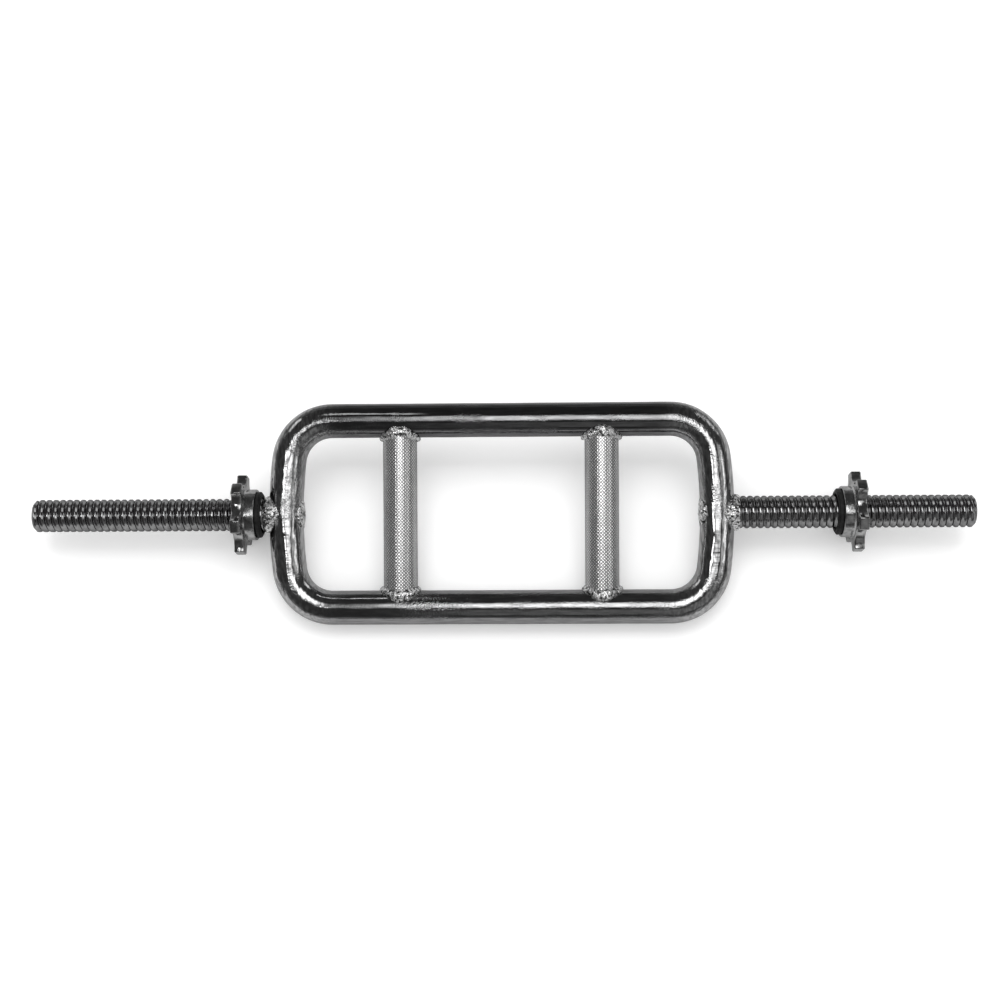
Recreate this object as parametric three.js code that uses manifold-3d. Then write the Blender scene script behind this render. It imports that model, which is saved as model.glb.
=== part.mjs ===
// Triceps bar: a bent tube frame with two knurled cross grips between its long tubes, a threaded
// sleeve welded through each end, and a star collar with a rubber ring screwed onto each sleeve.
// Millimetres, +Z up, X along the bar. The origin is on the floor, under the middle of the bar.
// The bar lies as on a floor: on its near long tube and on two teeth of each star.

import * as THREE from 'three';
import { mergeVertices } from 'three/addons/utils/BufferGeometryUtils.js';
import Module from 'manifold-3d';

const wasm = await Module();
wasm.setup();

// Frame: one round tube, bent in two halves
const overallLength = 864;
const frameLength = 428.6;
const frameWidth = 204.2;
const frameTubeDiameter = 31.8;
const frameTubeWall = 3;
const cornerBendRadius = 40;
const endBowRadius = 430;
const buttWeldWidth = 4;

// Grips
const gripSpacing = 185.7;
const gripDiameter = 31.4;
const gripWall = 3;
const gripEndSetback = 9;

// Threaded sleeves
const sleeveDiameter = 30;
const threadPitch = 6.35;
const threadDepth = 1.6;
const sleeveEndChamfer = 2.5;
const spigotDiameter = 20;
const spigotStandout = 0.8;

// Weld beads. Over the top and underside of a tube a bead is wide and flat, and at its sides it
// is a fillet. The sizes are a bead's reach along the branch and its thickness out from it.
const gripBeadTopReach = 6.2;
const gripBeadTopRise = 3.9;
const gripBeadTopSink = 2.3;
const gripBeadSideReach = 3.6;
const gripBeadSideRise = 3.8;
const sleeveBeadTopReach = 8;
const sleeveBeadTopRise = 3.8;
const sleeveBeadTopSink = 1.8;
const sleeveBeadSideReach = 4.6;
const sleeveBeadSideRise = 3;
const plugBeadTopReach = 2.4;
const plugBeadTopRise = 2.7;
const plugBeadSideReach = 1.6;
const plugBeadSideRise = 2.9;

// Star collars
const starTipDiameter = 74.2;
const starValleyDiameter = 54;
const starToothCount = 6;
const starToothWidth = 12.5;
const starPlateThickness = 9.5;
const starEdgeBevel = 1;
const hubDiameter = 47;
const hubLength = 10;
const hubChamfer = 1;
const starCountersink = 1.5;
const rubberDiameter = 42.5;
const rubberBoreDiameter = 33;
const rubberThickness = 4.5;
const rubberStepWidth = 1.8;
const rubberStepDepth = 1.2;
const rubberTongueWidth = 2.6;
const rubberTongueDepth = 2.5;
const rightCollarBackedOff = 85.8;

// Clearances, and how far a cutting solid runs past what it cuts
const weldGap = 0.3;
const spigotGap = 0.3;
const threadClearance = 0.5;
const rubberGap = 0.3;
const collarWeldClearance = 1.1;
const cutOverrun = 2;

// Facet counts
const tubeSides = 16;
const tubeBoreSides = 8;
const gripSides = 24;
const spigotSides = 16;
const threadSides = 16;
const hubSides = 24;
const cornerSteps = 6;
const bowSteps = 4;
const scallopSteps = 5;
const beadRingSteps = 22;
const beadSectionSteps = 6;

// How much of a pitch the flat crest takes, and how uneven the weld beads are
const threadCrestShare = 0.46;
const beadLumpShare = 0.13;
const beadCoarseLumps = 5;
const beadFineLumps = 9;

// Finishes
const chrome = { color: 0xd4d6d9, roughness: 0.1, metalness: 1 };
const satinChrome = { color: 0xb4b6b8, roughness: 0.32, metalness: 1 };
const platedWeld = { color: 0xa8aaac, roughness: 0.28, metalness: 1 };
const blackRubber = { color: 0x151515, roughness: 0.85, metalness: 0 };

// Sizes that follow from the ones above
const tubeRadius = frameTubeDiameter / 2;
const gripRadius = gripDiameter / 2;
const sleeveRadius = sleeveDiameter / 2;
const threadRootRadius = sleeveRadius - threadDepth;
const spigotRadius = spigotDiameter / 2;
const starTipRadius = starTipDiameter / 2;
const longTubeY = frameWidth / 2 - tubeRadius;
const endTubeX = frameLength / 2 - tubeRadius;
const gripX = gripSpacing / 2;
const sleeveShoulderX = endTubeX + tubeRadius + weldGap;
const sleeveEndX = overallLength / 2;
const spigotEndX = endTubeX - tubeRadius - spigotStandout;
const seamX = buttWeldWidth / 2 + weldGap;
const toothHalfAngle = Math.asin(starToothWidth / starTipDiameter);
const toothPitchAngle = 2 * Math.PI / starToothCount;

// The left collar is run right in to its sleeve's weld, and the right one is backed off from there.
const innermostCollarFace = sleeveShoulderX + sleeveBeadSideReach + collarWeldClearance;
const leftCollarFace = -innermostCollarFace;
const rightCollarFace = innermostCollarFace + rightCollarBackedOff;

// At rest two teeth straddle the vertical, so the bar's axis is as high as their inner corners,
// and the frame leans until its near long tube touches the floor.
const axisHeight = starTipRadius * Math.cos(toothPitchAngle / 2 - toothHalfAngle);
const restTilt = Math.asin((axisHeight - tubeRadius) / longTubeY);

// Solids from three.js geometries, and back
function solidOf(geometry) {
  const bare = geometry.clone();
  bare.deleteAttribute('normal');
  bare.deleteAttribute('uv');
  const merged = mergeVertices(bare);
  const triVerts = Uint32Array.from(merged.index.array);
  return new wasm.Manifold(new wasm.Mesh({
    numProp: 3,
    vertProperties: merged.attributes.position.array,
    triVerts,
  }));
}

function geometryOf(solid) {
  const mesh = solid.getMesh();
  const geometry = new THREE.BufferGeometry();
  geometry.setAttribute('position', new THREE.BufferAttribute(mesh.vertProperties, mesh.numProp));
  geometry.setIndex(new THREE.BufferAttribute(mesh.triVerts, 1));
  return geometry;
}

// A profile of [distance along X, radius] pairs turned about the X axis
function turned(profile, sides) {
  const points = profile.map(([along, radius]) => new THREE.Vector2(radius, along));
  return new THREE.LatheGeometry(points, sides).rotateZ(-Math.PI / 2);
}

function roundBarAlongX(radius, fromX, toX, sides) {
  return turned([[fromX, 0], [fromX, radius], [toX, radius], [toX, 0]], sides);
}

// A path through chosen stations, each a point with the path's direction there
class StationPath extends THREE.Curve {
  constructor(stations) {
    super();
    this.stations = stations;
  }

  stationAt(share) {
    return this.stations[Math.round(share * (this.stations.length - 1))];
  }

  getPointAt(share, target = new THREE.Vector3()) {
    return target.copy(this.stationAt(share).point);
  }

  getTangentAt(share, target = new THREE.Vector3()) {
    return target.copy(this.stationAt(share).direction);
  }
}

function ringPoints(radius, sides, firstAngle) {
  return Array.from({ length: sides }, (_, index) => {
    const angle = firstAngle + index / sides * 2 * Math.PI;
    return new THREE.Vector2(radius * Math.cos(angle), radius * Math.sin(angle));
  });
}

// A tube, or a solid bar where no bore is given, along a station path
function sweptTube(stations, outerRadius, boreRadius, firstAngle) {
  const section = new THREE.Shape(ringPoints(outerRadius, tubeSides, firstAngle));
  if (boreRadius) {
    section.holes.push(new THREE.Path(ringPoints(boreRadius, tubeBoreSides, firstAngle)));
  }
  return new THREE.ExtrudeGeometry(section, {
    steps: stations.length - 1,
    extrudePath: new StationPath(stations),
  });
}

// One half of the frame, on the side of X that side's sign says. Its path runs from the seam in
// the far long tube, round the bowed end tube, to the seam in the near long tube.
const bowCentreX = endTubeX - endBowRadius;
const cornerCentreY = longTubeY - cornerBendRadius;
const cornerCentreX = bowCentreX + Math.sqrt((endBowRadius - cornerBendRadius) ** 2 - cornerCentreY ** 2);
const bowHalfAngle = Math.atan2(cornerCentreY, cornerCentreX - bowCentreX);

function station(side, x, y, alongX, alongY) {
  return {
    point: new THREE.Vector3(side * x, y, 0),
    direction: new THREE.Vector3(side * alongX, alongY, 0).normalize(),
  };
}

function arcStations(side, centreX, centreY, radius, fromAngle, toAngle, steps) {
  return Array.from({ length: steps + 1 }, (_, index) => {
    const angle = fromAngle + (toAngle - fromAngle) * index / steps;
    const x = centreX + radius * Math.cos(angle);
    const y = centreY + radius * Math.sin(angle);
    return station(side, x, y, Math.sin(angle), -Math.cos(angle));
  });
}

function frameHalfStations(side) {
  const quarter = Math.PI / 2;
  const farCorner = arcStations(side, cornerCentreX, cornerCentreY, cornerBendRadius,
    quarter, bowHalfAngle, cornerSteps);
  const bow = arcStations(side, bowCentreX, 0, endBowRadius, bowHalfAngle, -bowHalfAngle, bowSteps);
  const nearCorner = arcStations(side, cornerCentreX, -cornerCentreY, cornerBendRadius,
    -bowHalfAngle, -quarter, cornerSteps);
  return [
    station(side, seamX, longTubeY, 1, 0),
    ...farCorner,
    ...bow.slice(1, -1),
    ...nearCorner,
    station(side, seamX, -longTubeY, -1, 0),
  ];
}

// The section starts at the angle that puts a corner of it straight down at rest.
function frameHalfTube(side, outerRadius, boreRadius) {
  return solidOf(sweptTube(frameHalfStations(side), outerRadius, boreRadius, side * restTilt));
}

function frameHalf(side) {
  const tube = frameHalfTube(side, tubeRadius, tubeRadius - frameTubeWall);
  const holeFrom = endTubeX - tubeRadius - cutOverrun;
  const holeTo = endTubeX + tubeRadius + cutOverrun;
  const hole = roundBarAlongX(spigotRadius + spigotGap, holeFrom, holeTo, spigotSides);
  const placedHole = side > 0 ? hole : hole.rotateZ(Math.PI);
  return geometryOf(tube.subtract(solidOf(placedHole)));
}

// What a weld keeps its gap to: the frame half grown by the gap
const weldClearOf = {
  left: frameHalfTube(-1, tubeRadius + weldGap, 0),
  right: frameHalfTube(1, tubeRadius + weldGap, 0),
};

function buttWeldRing(farSign) {
  const half = buttWeldWidth / 2;
  const stations = [
    station(1, -half * farSign, farSign * longTubeY, farSign, 0),
    station(1, half * farSign, farSign * longTubeY, farSign, 0),
  ];
  return sweptTube(stations, tubeRadius, tubeRadius - frameTubeWall, restTilt);
}

// A knurled grip: a tube along Y, coped to the frame's long tubes at both ends
function gripTube(hand) {
  const end = longTubeY - gripEndSetback;
  const bore = gripRadius - gripWall;
  const profile = [[bore, -end], [gripRadius, -end], [gripRadius, end], [bore, end], [bore, -end]];
  const tube = new THREE.LatheGeometry(profile.map(([r, y]) => new THREE.Vector2(r, y)), gripSides);
  tube.translate(hand === 'left' ? -gripX : gripX, 0, 0);
  return geometryOf(solidOf(tube).subtract(weldClearOf[hand]));
}

// A saddle-shaped weld bead round a branch that stands on a tube: an uneven ring about the Y
// axis. The branch leaves along -Y, and Z is where the tube's surface falls away below it.
// top and side give the section's centre and half sizes there, and the section blends between.
function saddleBead(top, side, lumpPhase) {
  const ring = new THREE.TorusGeometry(1, 1 / 2, beadSectionSteps, beadRingSteps);
  const place = ring.attributes.position;
  for (let index = 0; index < place.count; index += 1) {
    const around = Math.atan2(place.getY(index), place.getX(index));
    const outward = (Math.hypot(place.getX(index), place.getY(index)) - 1) * 2;
    const along = place.getZ(index) * 2;
    const sideShare = Math.cos(around) ** 2;
    const blend = (name) => top[name] + (side[name] - top[name]) * sideShare;
    const coarse = Math.sin(beadCoarseLumps * around + lumpPhase);
    const fine = Math.sin(beadFineLumps * around + 2 * lumpPhase);
    const lump = 1 + beadLumpShare * (coarse + fine) / 2;
    const radius = blend('radius') + blend('rise') * outward * lump;
    const y = blend('along') + blend('reach') * along * lump;
    place.setXYZ(index, radius * Math.cos(around), y, -radius * Math.sin(around));
  }
  return ring;
}

// The bead where a grip meets a long tube, less the tube and the grip's own round bar
function gripWeld(hand, farSign, lumpPhase) {
  const top = {
    radius: gripRadius - gripBeadTopSink,
    rise: gripBeadTopRise,
    along: longTubeY - gripEndSetback - gripBeadTopSink,
    reach: gripBeadTopReach,
  };
  const side = {
    radius: gripRadius,
    rise: gripBeadSideRise,
    along: longTubeY - tubeRadius,
    reach: gripBeadSideReach,
  };
  const bead = saddleBead(top, side, lumpPhase);
  const barEnd = longTubeY - gripEndSetback + weldGap;
  const bar = new THREE.LatheGeometry([
    new THREE.Vector2(0, 0),
    new THREE.Vector2(gripRadius + weldGap, 0),
    new THREE.Vector2(gripRadius + weldGap, barEnd),
    new THREE.Vector2(0, barEnd),
  ], gripSides);
  const centreX = hand === 'left' ? -gripX : gripX;
  for (const geometry of [bead, bar]) {
    if (farSign < 0) {
      geometry.rotateZ(Math.PI);
    }
    geometry.translate(centreX, 0, 0);
  }
  return geometryOf(solidOf(bead).subtract(solidOf(bar)).subtract(weldClearOf[hand]));
}

// A right-handed screw along X whose crest passes through +Y at x = 0, long enough to run past
// both given ends. Its columns of points climb by one pitch a turn, so the last column meets the
// first one pitch further on, and a fan to the axis closes each end.
function screw(crestRadius, rootRadius, fromX, toX) {
  const profile = [
    [-threadCrestShare / 2, crestRadius],
    [threadCrestShare / 2, crestRadius],
    [1 / 2, rootRadius],
  ];
  const firstTurn = Math.floor(fromX / threadPitch) - 2;
  const turns = Math.ceil(toX / threadPitch) + 2 - firstTurn;
  const rows = turns * profile.length;
  const positions = [];
  const starts = [];
  for (let column = 0; column < threadSides; column += 1) {
    const angle = column / threadSides * 2 * Math.PI;
    const columnRows = column === 0 ? rows + profile.length : rows;
    starts.push(positions.length / 3);
    for (let row = 0; row < columnRows; row += 1) {
      const [share, radius] = profile[row % profile.length];
      const turn = firstTurn + Math.floor(row / profile.length) + column / threadSides;
      positions.push((turn + share) * threadPitch, radius * Math.cos(angle), radius * Math.sin(angle));
    }
  }
  const axisStart = positions.length / 3;
  positions.push((firstTurn + 1 / 2) * threadPitch, 0, 0);
  const axisEnd = positions.length / 3;
  positions.push((firstTurn + turns + 1 / 2) * threadPitch, 0, 0);

  const vertex = (column, row) => (column < threadSides ? starts[column] + row : row + profile.length);
  const triangles = [];
  const lastRow = rows - 1;
  for (let column = 0; column < threadSides; column += 1) {
    for (let row = 0; row < lastRow; row += 1) {
      const a = vertex(column, row);
      const b = vertex(column + 1, row);
      const c = vertex(column + 1, row + 1);
      const d = vertex(column, row + 1);
      triangles.push(a, b, c, a, c, d);
    }
    triangles.push(axisStart, vertex(column + 1, 0), vertex(column, 0));
    triangles.push(axisEnd, vertex(column, lastRow), vertex(column + 1, lastRow));
  }
  for (let step = 0; step < profile.length; step += 1) {
    triangles.push(axisStart, step, step + 1);
    triangles.push(axisEnd, lastRow + step + 1, lastRow + step);
  }
  const geometry = new THREE.BufferGeometry();
  geometry.setAttribute('position', new THREE.Float32BufferAttribute(positions, 3));
  geometry.setIndex(triangles);
  return geometry;
}

// A sleeve: a screw cut to a turned blank with a plain spigot and a chamfered end
function sleeve(side) {
  const blankRadius = sleeveRadius + cutOverrun;
  const blank = turned([
    [spigotEndX, 0],
    [spigotEndX, spigotRadius],
    [sleeveShoulderX, spigotRadius],
    [sleeveShoulderX, blankRadius],
    [sleeveEndX - sleeveEndChamfer - cutOverrun, blankRadius],
    [sleeveEndX, sleeveRadius - sleeveEndChamfer],
    [sleeveEndX, 0],
  ], threadSides);
  if (side < 0) {
    blank.rotateZ(Math.PI);
  }
  const fromX = side > 0 ? spigotEndX : -sleeveEndX;
  const toX = side > 0 ? sleeveEndX : -spigotEndX;
  const thread = screw(sleeveRadius, threadRootRadius, fromX, toX);
  return geometryOf(solidOf(thread).intersect(solidOf(blank)));
}

// The bead between a sleeve's shoulder and the outer face of the end tube
function sleeveWeld(side, lumpPhase) {
  const shoulder = -sleeveShoulderX;
  const top = {
    radius: sleeveRadius - sleeveBeadTopSink,
    rise: sleeveBeadTopRise,
    along: shoulder + sleeveBeadSideReach,
    reach: sleeveBeadTopReach,
  };
  const flank = {
    radius: sleeveRadius - sleeveBeadTopSink / 2,
    rise: sleeveBeadSideRise,
    along: shoulder,
    reach: sleeveBeadSideReach,
  };
  const bead = saddleBead(top, flank, lumpPhase).rotateZ(side * Math.PI / 2);
  const bar = turned([
    [sleeveShoulderX - tubeRadius - cutOverrun, 0],
    [sleeveShoulderX - tubeRadius - cutOverrun, spigotRadius + spigotGap],
    [sleeveShoulderX - weldGap, spigotRadius + spigotGap],
    [sleeveShoulderX - weldGap, sleeveRadius + weldGap],
    [sleeveShoulderX + sleeveRadius, sleeveRadius + weldGap],
    [sleeveShoulderX + sleeveRadius, 0],
  ], gripSides);
  if (side < 0) {
    bar.rotateZ(Math.PI);
  }
  const clearOf = weldClearOf[side > 0 ? 'right' : 'left'];
  return geometryOf(solidOf(bead).subtract(solidOf(bar)).subtract(clearOf));
}

// The dressed bead round the spigot's end, on the inner face of the end tube
function plugWeld(side, lumpPhase) {
  const inner = endTubeX - tubeRadius;
  const fallAway = tubeRadius - Math.sqrt(tubeRadius ** 2 - spigotRadius ** 2);
  const top = {
    radius: spigotRadius + plugBeadTopRise / 2,
    rise: plugBeadTopRise,
    along: inner + fallAway,
    reach: plugBeadTopReach,
  };
  const flank = {
    radius: spigotRadius + plugBeadSideRise / 2,
    rise: plugBeadSideRise,
    along: inner,
    reach: plugBeadSideReach,
  };
  const bead = saddleBead(top, flank, lumpPhase).rotateZ(-side * Math.PI / 2);
  const bar = roundBarAlongX(spigotRadius + spigotGap, spigotEndX - cutOverrun, endTubeX, spigotSides);
  if (side < 0) {
    bar.rotateZ(Math.PI);
  }
  const clearOf = weldClearOf[side > 0 ? 'right' : 'left'];
  return geometryOf(solidOf(bead).subtract(solidOf(bar)).subtract(clearOf));
}

// The star's outline: teeth with straight tips, and a round scallop between two teeth
function starOutline() {
  const valleyRadius = starValleyDiameter / 2;
  const cornerAngle = toothPitchAngle / 2 - toothHalfAngle;
  const cornerAlong = starTipRadius * Math.cos(cornerAngle);
  const cornerAcross = starTipRadius * Math.sin(cornerAngle);
  const rise = cornerAlong - valleyRadius;
  const scallopRadius = (rise ** 2 + cornerAcross ** 2) / (2 * rise);
  const scallopCentre = valleyRadius + scallopRadius;
  const sweep = Math.atan2(cornerAcross, scallopCentre - cornerAlong);
  const points = [];
  for (let tooth = 0; tooth < starToothCount; tooth += 1) {
    const bisector = Math.PI / 2 + (tooth + 1 / 2) * toothPitchAngle;
    for (let step = 0; step <= scallopSteps; step += 1) {
      const angle = Math.PI + sweep - 2 * sweep * step / scallopSteps;
      const along = scallopCentre + scallopRadius * Math.cos(angle);
      const across = scallopRadius * Math.sin(angle);
      points.push(new THREE.Vector2(along, across).rotateAround(new THREE.Vector2(), bisector));
    }
  }
  return points;
}

// Distances along a collar, from the rubber's clamping face out to the star's outer face
const hubFace = rubberThickness;
const plateFace = hubFace + rubberGap + hubLength;
const collarLength = plateFace + starPlateThickness;

// A star nut about the X axis, with its hub towards the frame. Its thread is tapped in phase with
// the sleeve's at the place that faceX gives.
function starNut(side, faceX) {
  const outline = new THREE.Shape(starOutline());
  const plate = new THREE.ExtrudeGeometry(outline, {
    depth: starPlateThickness - 2 * starEdgeBevel,
    bevelThickness: starEdgeBevel,
    bevelSize: starEdgeBevel,
    bevelOffset: -starEdgeBevel,
    bevelSegments: 1,
  });
  plate.rotateY(Math.PI / 2).translate(plateFace + starEdgeBevel, 0, 0);

  const hubRadius = hubDiameter / 2;
  const hubStart = hubFace + rubberGap;
  const tongueMiddle = (rubberDiameter + rubberBoreDiameter) / 4;
  const grooveHalf = rubberTongueWidth / 2 + rubberGap;
  const grooveFloor = hubStart + rubberTongueDepth;
  const hub = turned([
    [hubStart, 0],
    [hubStart, tongueMiddle - grooveHalf],
    [grooveFloor, tongueMiddle - grooveHalf],
    [grooveFloor, tongueMiddle + grooveHalf],
    [hubStart, tongueMiddle + grooveHalf],
    [hubStart, hubRadius - hubChamfer],
    [hubStart + hubChamfer, hubRadius],
    [plateFace + starPlateThickness / 2, hubRadius],
    [plateFace + starPlateThickness / 2, 0],
  ], hubSides);
  const mouth = sleeveRadius + threadClearance;
  const countersink = turned([
    [collarLength - starCountersink, 0],
    [collarLength - starCountersink, mouth],
    [collarLength + cutOverrun, mouth + starCountersink + cutOverrun],
    [collarLength + cutOverrun, 0],
  ], hubSides);

  const blank = solidOf(plate).add(solidOf(hub)).subtract(solidOf(countersink));
  const placed = side > 0 ? geometryOf(blank) : geometryOf(blank).rotateZ(Math.PI);
  const farX = faceX + side * collarLength;
  const tap = screw(mouth, threadRootRadius + threadClearance, Math.min(faceX, farX), Math.max(faceX, farX));
  tap.rotateX(restTilt).translate(-faceX, 0, 0);
  return geometryOf(solidOf(placed).subtract(solidOf(tap)));
}

// The rubber ring: stepped clamping face, and a tongue that seats in the hub's groove
function rubberRing(side) {
  const outer = rubberDiameter / 2;
  const bore = rubberBoreDiameter / 2;
  const tongueMiddle = (rubberDiameter + rubberBoreDiameter) / 4;
  const tongueHalf = rubberTongueWidth / 2;
  const tongueEnd = hubFace + rubberTongueDepth;
  const ring = turned([
    [0, bore],
    [0, outer - rubberStepWidth],
    [rubberStepDepth, outer - rubberStepWidth],
    [rubberStepDepth, outer],
    [hubFace, outer],
    [hubFace, tongueMiddle + tongueHalf],
    [tongueEnd, tongueMiddle + tongueHalf],
    [tongueEnd, tongueMiddle - tongueHalf],
    [hubFace, tongueMiddle - tongueHalf],
    [hubFace, bore],
    [0, bore],
  ], hubSides);
  return side > 0 ? ring : ring.rotateZ(Math.PI);
}

// Assembly
function piece(name, geometry, finish) {
  const mesh = new THREE.Mesh(geometry, new THREE.MeshStandardMaterial(finish));
  mesh.name = name;
  return mesh;
}

const bar = new THREE.Group();
bar.rotation.x = restTilt;
bar.add(
  piece('frame_left_half', frameHalf(-1), chrome),
  piece('frame_right_half', frameHalf(1), chrome),
  piece('frame_butt_weld_far', buttWeldRing(1), platedWeld),
  piece('frame_butt_weld_near', buttWeldRing(-1), platedWeld),
  piece('left_grip', gripTube('left'), satinChrome),
  piece('right_grip', gripTube('right'), satinChrome),
  piece('left_grip_weld_far', gripWeld('left', 1, 0), platedWeld),
  piece('left_grip_weld_near', gripWeld('left', -1, 1), platedWeld),
  piece('right_grip_weld_far', gripWeld('right', 1, 2), platedWeld),
  piece('right_grip_weld_near', gripWeld('right', -1, 3), platedWeld),
  piece('left_sleeve', sleeve(-1), chrome),
  piece('right_sleeve', sleeve(1), chrome),
  piece('left_sleeve_weld', sleeveWeld(-1, 4), platedWeld),
  piece('right_sleeve_weld', sleeveWeld(1, 5), platedWeld),
  piece('left_plug_weld', plugWeld(-1, 6), platedWeld),
  piece('right_plug_weld', plugWeld(1, 7), platedWeld),
);

function collar(hand, side, faceX) {
  const pair = new THREE.Group();
  pair.position.x = faceX;
  pair.add(
    piece(`${hand}_star_nut`, starNut(side, faceX), chrome),
    piece(`${hand}_rubber_ring`, rubberRing(side), blackRubber),
  );
  return pair;
}

const group = new THREE.Group();
group.position.z = axisHeight;
group.add(bar, collar('left', -1, leftCollarFace), collar('right', 1, rightCollarFace));

export default group;
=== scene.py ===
# Triceps bar with screw-on star collars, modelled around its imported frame.
#
# Metres throughout. Each piece of the bar is modelled flat, with X along the bar, the frame in the
# plane z = 0 and the bar's axis on X, and is then leaned and lifted to where the bar rests.

import math

import bmesh
import bpy
from bpy.props import FloatProperty, FloatVectorProperty, IntProperty, PointerProperty
from mathutils import Matrix, Vector


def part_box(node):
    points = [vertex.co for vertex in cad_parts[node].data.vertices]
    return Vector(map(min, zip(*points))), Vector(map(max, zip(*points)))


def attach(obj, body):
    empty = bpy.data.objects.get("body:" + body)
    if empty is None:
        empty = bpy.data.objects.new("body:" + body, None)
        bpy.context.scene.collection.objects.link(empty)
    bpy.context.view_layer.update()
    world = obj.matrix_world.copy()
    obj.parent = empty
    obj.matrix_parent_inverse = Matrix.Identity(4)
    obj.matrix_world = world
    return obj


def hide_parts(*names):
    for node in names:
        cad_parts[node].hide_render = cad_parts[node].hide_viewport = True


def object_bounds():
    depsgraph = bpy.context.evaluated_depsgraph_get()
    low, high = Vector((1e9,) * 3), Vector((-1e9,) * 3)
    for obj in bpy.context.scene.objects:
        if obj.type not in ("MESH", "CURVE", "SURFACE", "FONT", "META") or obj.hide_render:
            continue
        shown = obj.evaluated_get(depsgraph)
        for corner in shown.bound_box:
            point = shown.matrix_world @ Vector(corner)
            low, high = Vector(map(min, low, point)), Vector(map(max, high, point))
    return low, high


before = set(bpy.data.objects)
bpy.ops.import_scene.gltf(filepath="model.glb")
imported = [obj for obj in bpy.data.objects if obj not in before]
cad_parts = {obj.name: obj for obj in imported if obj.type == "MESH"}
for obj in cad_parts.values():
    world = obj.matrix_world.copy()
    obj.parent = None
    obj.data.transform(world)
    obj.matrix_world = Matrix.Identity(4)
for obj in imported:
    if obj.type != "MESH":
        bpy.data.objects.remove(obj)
cad_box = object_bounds()

bl_info = {
    "name": "Triceps bar",
    "version": (1, 0, 0),
    "blender": (4, 5, 0),
    "location": "3D View > Sidebar > Triceps bar",
    "description": "Builds a chromed triceps bar with knurled grips and star collars, and its studio",
    "category": "Object",
}

QUARTER = math.pi / 2
TURN = 2 * math.pi
SIDES = {"left": -1, "right": 1}
ACROSS = {"far": 1, "near": -1}

# How finely the round shapes are cut
TUBE_SIDES = 72
STRAIGHT_STEPS = 36
SEAM_STEPS = 4
CORNER_STEPS = 22
BOW_STEPS = 22
THREAD_STEPS = 72
TURNED_STEPS = 96
ROUNDING_STEPS = 4
BEVEL_STEPS = 3
SCALLOP_STEPS = 14
KNURL_ROW_BLOCKS = 10
BEAD_STEPS = 250
BEAD_SECTION_STEPS = 64

# Where a piece is shaded smooth or bevelled, the edges that are sharper than these
TUBE_SHARP = math.radians(40)
THREAD_SHARP = math.radians(38)
COLLAR_SHARP = math.radians(32)
BEVEL_SHARP = math.radians(35)

# One pitch of thread from the crest's middle to the groove's floor, as shares of the pitch along
# and of the depth down
THREAD_SHARES = [
    (0.0, 0.0),
    (0.15, 0.02),
    (0.2, 0.09),
    (0.24, 0.24),
    (0.41, 0.8),
    (0.455, 0.95),
    (0.5, 1.0),
]

# Lumps round a weld bead, and where each bead's lumps start, so that no two beads are alike
COARSE_LUMPS = 5
FINE_LUMPS = 9
GRIP_BEAD_PHASES = (0, 1, 2, 3)
SLEEVE_BEAD_PHASES = ((4, 6), (5, 7))

# Octaves of the patterns that shape a skin, and how far a hub's fillet spreads for its size
RIPPLE_OCTAVES = 2
BEAD_OCTAVES = 1
FILLET_SPREAD = 1.5

MERGE_DISTANCE = 1e-6
SPECK = 1e-3


def length(name, description, default):
    return FloatProperty(
        name=name, description=description, default=default, min=0.0, precision=5, unit="LENGTH"
    )


def amount(name, description, default, top=1.0):
    return FloatProperty(name=name, description=description, default=default, min=0.0, max=top)


def colour(name, description, default):
    return FloatVectorProperty(
        name=name, description=description, default=default, subtype="COLOR", size=3, min=0.0, max=1.0
    )


class FrameSizes(bpy.types.PropertyGroup):
    """The bent tube frame and its cross grips"""

    frame_length: length("Frame length", "Over the two end tubes", 0.4286)
    frame_width: length("Frame width", "Over the two long tubes", 0.2042)
    tube_diameter: length("Tube diameter", "Outside of the frame tube", 0.0318)
    tube_wall: length("Tube wall", "Wall of the frame tube", 0.003)
    corner_radius: length("Corner radius", "Bend radius of the corners, at the tube's middle", 0.04)
    bow_radius: length("End bow radius", "Radius that the end tubes are bowed to", 0.43)
    seam_weld_width: length("Seam weld width", "Width of the dressed weld between the halves", 0.0046)
    tube_ripple: length("Tube ripple", "How far the tube's skin waves in and out", 0.0003)
    ripple_length: length("Ripple length", "Distance from wave to wave in the tube's skin", 0.035)
    grip_spacing: length("Grip spacing", "From grip to grip, middle to middle", 0.1857)
    grip_diameter: length("Grip diameter", "Over the knurl", 0.0314)
    grip_wall: length("Grip wall", "Wall of the grip tube", 0.003)
    grip_setback: length("Grip setback", "From a long tube's middle to the grip's end", 0.009)
    cope_gap: length("Cope gap", "Gap between the coped grip and the long tube", 0.0003)
    knurl_pitch: length("Knurl pitch", "Width of one diamond of the knurl", 0.0031)
    knurl_depth: length("Knurl depth", "Depth of the knurl's grooves", 0.00007)


class SleeveSizes(bpy.types.PropertyGroup):
    """The threaded sleeves"""

    diameter: length("Sleeve diameter", "Over the thread", 0.03)
    pitch: length("Thread pitch", "From crest to crest", 0.00635)
    depth: length("Thread depth", "From crest to groove", 0.0016)
    chamfer: length("End chamfer", "Chamfer at the sleeve's end", 0.0025)
    shoulder_gap: length("Shoulder gap", "From the end tube to the sleeve's shoulder", 0.0003)
    spigot_diameter: length("Spigot diameter", "Plain spigot through the end tube", 0.02)
    spigot_standout: length("Spigot standout", "How far the spigot stands out inside the frame", 0.0002)
    spigot_gap: length("Spigot gap", "Gap round the spigot in the end tube", 0.0003)


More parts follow.
